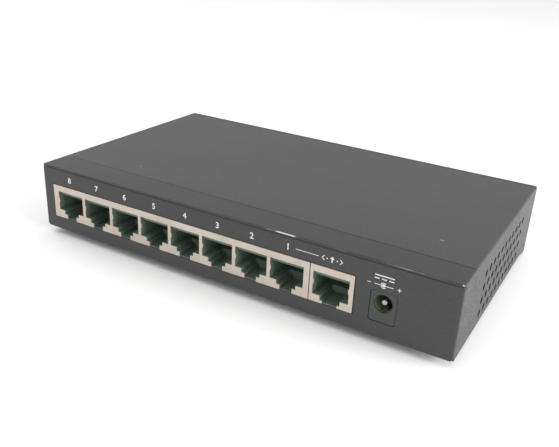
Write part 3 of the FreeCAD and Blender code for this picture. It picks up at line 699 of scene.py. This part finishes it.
OUTWARD = {"f": Vector((0, -1, 0)), "b": Vector((0, 1, 0)), "l": Vector((-1, 0, 0)), "r": Vector((1, 0, 0))}


def package_leads(sketch, low, high, pitch, sides, reach, drop):
    """Leads on the named sides of a package (front, back, left, right), centred on each side."""
    size = high - low
    mid = (low + high) / 2
    for side in sides:
        along = 0 if side in "fb" else 1
        count = int((size[along] - LEAD_MARGIN) / pitch) + 1
        span = (count - 1) * pitch
        across = 1 - along
        start = Vector((mid.x, mid.y, BOARD_TOP))
        start[across] = high[across] if side in "br" else low[across]
        start[along] = mid[along] - span / 2
        step = Vector((0, 0, 0))
        step[along] = pitch
        lead_row(sketch, start, step, OUTWARD[side], count, pitch * LEAD_W, reach, drop)


# Leads of each package, in mm: pitch, sides, how far they reach out and how far down.
LEADS = {
    "switch_chip": (0.8, "fblr", 1.0, 1.1),
    "transceiver_chips": (0.65, "fb", 1.0, 1.1),
    "buffer_memory": (0.8, "fb", 0.8, 0.5),
    "setup_memory": (1.27, "fb", 0.8, 0.7),
    "magnetics_modules": (1.27, "fb", 1.0, 1.6),
    "voltage_regulators": (2.54, "f", 2.2, 1.6),
    "input_diode": (3.0, "fb", 0.9, 0.9),
}


def chip_leads(tin):
    sketch = Sketch()
    for name, (pitch, sides, reach, drop) in LEADS.items():
        for low, high in solids(name):
            package_leads(sketch, low, high, pitch * MM, sides, reach * MM, drop * MM)
    sketch.finish("chip_leads", "base", tin, "lug_tin")


CAP = 0.4 * MM                          # length of a small part's tinned end
CAP_SKIN = 0.015 * MM                   # how far it stands off the part
PAD_H = 0.05 * MM


def chip_ends(sketch, low, high):
    """The two tinned ends of a small part, and their solder pads."""
    middle = (low.x + high.x) / 2
    for y in (low.y + CAP / 2, high.y - CAP / 2):
        place = (middle, y, (BOARD_TOP + high.z + CAP_SKIN) / 2)
        size = (high.x - low.x + 2 * CAP_SKIN, CAP + 2 * CAP_SKIN, high.z + CAP_SKIN - BOARD_TOP)
        sketch.brick(place, size)
    for y in (low.y - 0.15 * MM, high.y + 0.15 * MM):
        sketch.brick((middle, y, BOARD_TOP + PAD_H / 2), (high.x - low.x + 0.2 * MM, 0.7 * MM, PAD_H))


def network_ends(sketch, low, high):
    """The four pairs of tinned ends of a resistor network."""
    depth = high.y - low.y + 0.6 * MM
    height = high.z + 0.01 * MM - BOARD_TOP
    for i in range(4):
        x = low.x + (high.x - low.x) * (i + 0.5) / 4
        sketch.brick((x, (low.y + high.y) / 2, BOARD_TOP + height / 2), (0.44 * MM, depth, height))


def end_caps(metal):
    sketch = Sketch()
    for name in ("chip_capacitors", "chip_resistors", "ferrite_beads"):
        for low, high in solids(name):
            chip_ends(sketch, low, high)
    for low, high in solids("resistor_networks"):
        network_ends(sketch, low, high)
    sketch.finish("end_caps", "base", metal, "lug_tin")


WINDING_WIRE_R = 0.27 * MM
WINDING_R = 4.35 * MM
WINDING_FOOT = 1.25 * MM                # lowest turn, above the inductor's foot
WINDING_H = 4.2 * MM                    # height between the flanges


def coil_windings(copper):
    """Enamelled wire laid between the flanges of each drum inductor."""
    sketch = Sketch()
    for low, high in solids("power_inductors"):
        centre = (low + high) / 2
        for row in range(int(WINDING_H / (2 * WINDING_WIRE_R))):
            z = low.z + WINDING_FOOT + WINDING_WIRE_R * (2 * row + 1)
            sketch.coil((centre.x, centre.y, z), WINDING_R, WINDING_WIRE_R)
    sketch.finish("coil_windings", "base", copper, "wire_gold", smooth=True)


def can_stripe(sketch, low, high):
    """The polarity stripe down a can's sleeve, in narrow flat strips."""
    centre = (low + high) / 2
    radius = (high.x - low.x) / 2
    inner, outer, half = radius - 0.05 * MM, radius + 0.02 * MM, 0.04 * radius
    strip = [(inner, -half), (outer, -half), (outer, half), (inner, half)]
    for i in range(5):
        turn = Matrix.Rotation(math.radians(-70 + 7 * i), 4, "Z")
        place = Matrix.Translation((centre.x, centre.y, 0)) @ turn
        sketch.outline(strip, low.z + 2.4 * MM, high.z - 0.6 * MM, place)


def can_tops(metal, dark):
    """Bare aluminium tops of the cans, each with its scored relief cross drawn as painted shade in dark
    ink, and the sleeves' stripes.
    """
    tops, score_shade, stripes = Sketch(), Sketch(), Sketch()
    for low, high in solids("bulk_capacitors"):
        centre = (low + high) / 2
        radius = (high.x - low.x) / 2
        tops.disc((centre.x, centre.y, high.z - 0.005 * MM), radius - 0.6 * MM, 0.03 * MM)
        reach = radius - 1.1 * MM
        place = Matrix.Translation((centre.x, centre.y, high.z + 0.02 * MM))
        # The score lines are painted shade: raised bars of dark ink standing for the shade in the stamped
        # grooves.
        for turn in (0.0, math.pi / 2):
            spun = place @ Matrix.Rotation(turn, 4, "Z")
            score_shade.bar(-reach, reach, -0.09 * MM, 0.09 * MM, spun, 0.02 * MM)
        can_stripe(stripes, low, high)
    tops.finish("can_tops", "base", metal, "can_metal")
    score_shade.finish("can_score_shade", "base", dark, "can_metal")
    stripes.finish("can_stripes", "base", metal, "capacitor_sleeve")


TRACK_H = 0.04 * MM
TRACK_W = 0.32 * MM
TRACK_END = 0.9 * MM                    # tracks stop this far from a package, at its leads' feet


def track(sketch, points, share=1.0):
    sketch.line(points, TRACK_W * share, TRACK_H, board_place(0, 0))


def jack_tracks(sketch, low, high, jack_back):
    """Tracks from the back of a pair of jacks to its transformer module."""
    middle = (low.x + high.x) / 2
    for i in range(12):
        x = middle + (i - 5.5) * 1.5 * MM
        track(sketch, [(x, jack_back), (x, low.y - TRACK_END)])


def module_tracks(sketch, low, high, chip, side):
    """Tracks from a transformer module to the left or right half of its transceiver."""
    middle = (low.x + high.x) / 2
    centre = (chip[0].x + chip[1].x) / 2
    y0 = high.y + TRACK_END
    y1 = chip[0].y - TRACK_END
    for i in range(8):
        x0 = middle + (i - 3.5) * 1.9 * MM
        x1 = centre + side * 4.7 * MM + (i - 3.5) * 0.65 * MM
        track(sketch, [(x0, y0), (x0, y0 + 0.5 * MM), (x1, y1 - 0.3 * MM), (x1, y1)], 0.8)


def core_path(x0, y0, i, core, from_left):
    """Track number i from a transceiver to the switch chip's left side, or else to its front."""
    low, high = core
    if from_left:
        y1 = low.y + (2.5 + 0.8 * i) * MM
        bend = min(2 * MM, (y1 - y0) / 2)
        return [(x0, y0), (x0, y1 - bend), (x0 + bend, y1), (low.x - 1.2 * MM, y1)]
    x1 = (low.x + high.x) / 2 + (i - 6.5) * 1.6 * MM
    y1 = low.y - TRACK_END
    return [(x0, y0), (x0, y0 + 0.4 * MM), (x1, y1 - 0.3 * MM), (x1, y1)]


def core_tracks(sketch, chip, core, from_left):
    middle = (chip[0].x + chip[1].x) / 2
    for i in range(14):
        x0 = middle + (i - 6.5) * 1.1 * MM
        track(sketch, core_path(x0, chip[1].y + TRACK_END, i, core, from_left), 0.7)


def board_traces(copper_mask):
    """Tracks from the jacks to the transformers, on to the transceivers and the switch chip."""
    sketch = Sketch()
    chips = solids("transceiver_chips")
    jack_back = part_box("port_block_shield")[1].y
    for index, (low, high) in enumerate(solids("magnetics_modules")):
        jack_tracks(sketch, low, high, jack_back)
        module_tracks(sketch, low, high, chips[index // 2], -1 if index % 2 == 0 else 1)
    (core,) = solids("switch_chip")
    for chip, from_left in zip(chips, (True, False)):
        core_tracks(sketch, chip, core, from_left)
    sketch.finish("board_traces", "base", copper_mask, "board_green")


PRINT_W = 0.18 * MM                     # width of a printed corner's lines
# How far a printed outline stands off each package, in mm.
PRINT_MARGINS = {
    "switch_chip": 1.9, "transceiver_chips": 1.7, "magnetics_modules": 1.6, "buffer_memory": 1.4,
    "clock_crystal": 0.5, "clock_oscillator": 0.6, "input_fuse": 0.5, "voltage_regulators": 2.8,
}


def printed_corners(sketch, low, high, edge):
    """The four corners of a package's outline, drawn as ticks, and a dot at pin one."""
    flat = board_place(0, 0)
    x0, x1, y0, y1 = low.x - edge, high.x + edge, low.y - edge, high.y + edge
    for ya, yb in ((y0, y0 + PRINT_W), (y1 - PRINT_W, y1)):
        for xa, xb in ((x0, x0 + 3 * MM), (x1 - 3 * MM, x1)):
            sketch.bar(xa, xb, ya, yb, flat, 0.06 * MM)
    for xa, xb in ((x0, x0 + PRINT_W), (x1 - PRINT_W, x1)):
        for ya, yb in ((y0, y0 + 2 * MM), (y1 - 2 * MM, y1)):
            sketch.bar(xa, xb, ya, yb, flat, 0.07 * MM)
    sketch.ring((x0 - 0.5 * MM, y0 - 0.5 * MM), 0.3 * MM, 0.02 * MM, 0.06 * MM, flat, steps=12)


def board_print(ink):
    """Printed corners around the packages and printed rings around the round parts."""
    sketch = Sketch()
    for name, margin in PRINT_MARGINS.items():
        for low, high in solids(name):
            printed_corners(sketch, low, high, margin * MM)
    for name in ("bulk_capacitors", "power_inductors"):
        for low, high in solids(name):
            centre = (low + high) / 2
            radius = (high.x - low.x) / 2
            place = board_place(centre.x, centre.y)
            sketch.ring((0, 0), radius + 0.45 * MM, radius + 0.25 * MM, 0.06 * MM, place)
    sketch.finish("board_print", "base", ink, "board_green")


# ---- studio -------------------------------------------------------------
FLOOR_REACH = 6.0                       # metres from the middle to each edge


def make_floor():
    shader = Shader("studio_floor", Roughness=0.9, Specular_IOR_Level=0.2)
    soft = shader.noise(3.0, 2.0, 0.5)
    shader.colour(shader.mix(soft, grey(0.90), grey(0.92)))
    mesh = bpy.data.meshes.new("studio_floor")
    corners = [(x * FLOOR_REACH, y * FLOOR_REACH, 0) for x, y in ((-1, -1), (1, -1), (1, 1), (-1, 1))]
    mesh.from_pydata(corners, [], [(0, 1, 2, 3)])
    floor = bpy.data.objects.new("studio_floor", mesh)
    bpy.context.scene.collection.objects.link(floor)
    mesh.materials.append(shader.material)


def area_light(name, location, aim, size, power):
    data = bpy.data.lights.new(name, "AREA")
    data.shape = "RECTANGLE"
    data.size = size[0]
    data.size_y = size[1]
    data.energy = power
    light = bpy.data.objects.new(name, data)
    bpy.context.scene.collection.objects.link(light)
    light.location = location
    light.rotation_mode = "QUATERNION"
    light.rotation_quaternion = (Vector(aim) - Vector(location)).to_track_quat("-Z", "Y")


def make_studio():
    make_floor()
    world = bpy.data.worlds.new("studio")
    bpy.context.scene.world = world
    world.use_nodes = True
    sky = world.node_tree.nodes["Background"]
    sky.inputs["Color"].default_value = (1.0, 1.0, 1.0, 1.0)
    sky.inputs["Strength"].default_value = 0.93
    area_light("key", (-0.7, -0.05, 0.55), (0, 0, 0), (0.7, 0.7), 2.6)
    area_light("front_fill", (0.0, -1.3, 0.35), (0, 0, 0), (1.2, 0.4), 1.0)
    area_light("side_strip", (0.75, 0.05, 0.22), (0.08, 0, 0.015), (0.6, 0.3), 8.0)
    bpy.context.scene.view_settings.view_transform = "Standard"


# ---- main ---------------------------------------------------------------
make_camera()
make_studio()
MATERIALS = make_materials()
dress_nodes(MATERIALS)
port_numbers(MATERIALS["white_ink"])
uplink_mark(MATERIALS["white_ink"])
power_marks(MATERIALS["white_ink"])
bezel_marks(MATERIALS["white_ink"])
chip_leads(MATERIALS["lug_tin"])
end_caps(MATERIALS["lug_tin"])
coil_windings(MATERIALS["copper_wire"])
can_tops(MATERIALS["can_metal"], MATERIALS["dark_ink"])
board_traces(MATERIALS["trace_mask"])
board_print(MATERIALS["white_ink"])
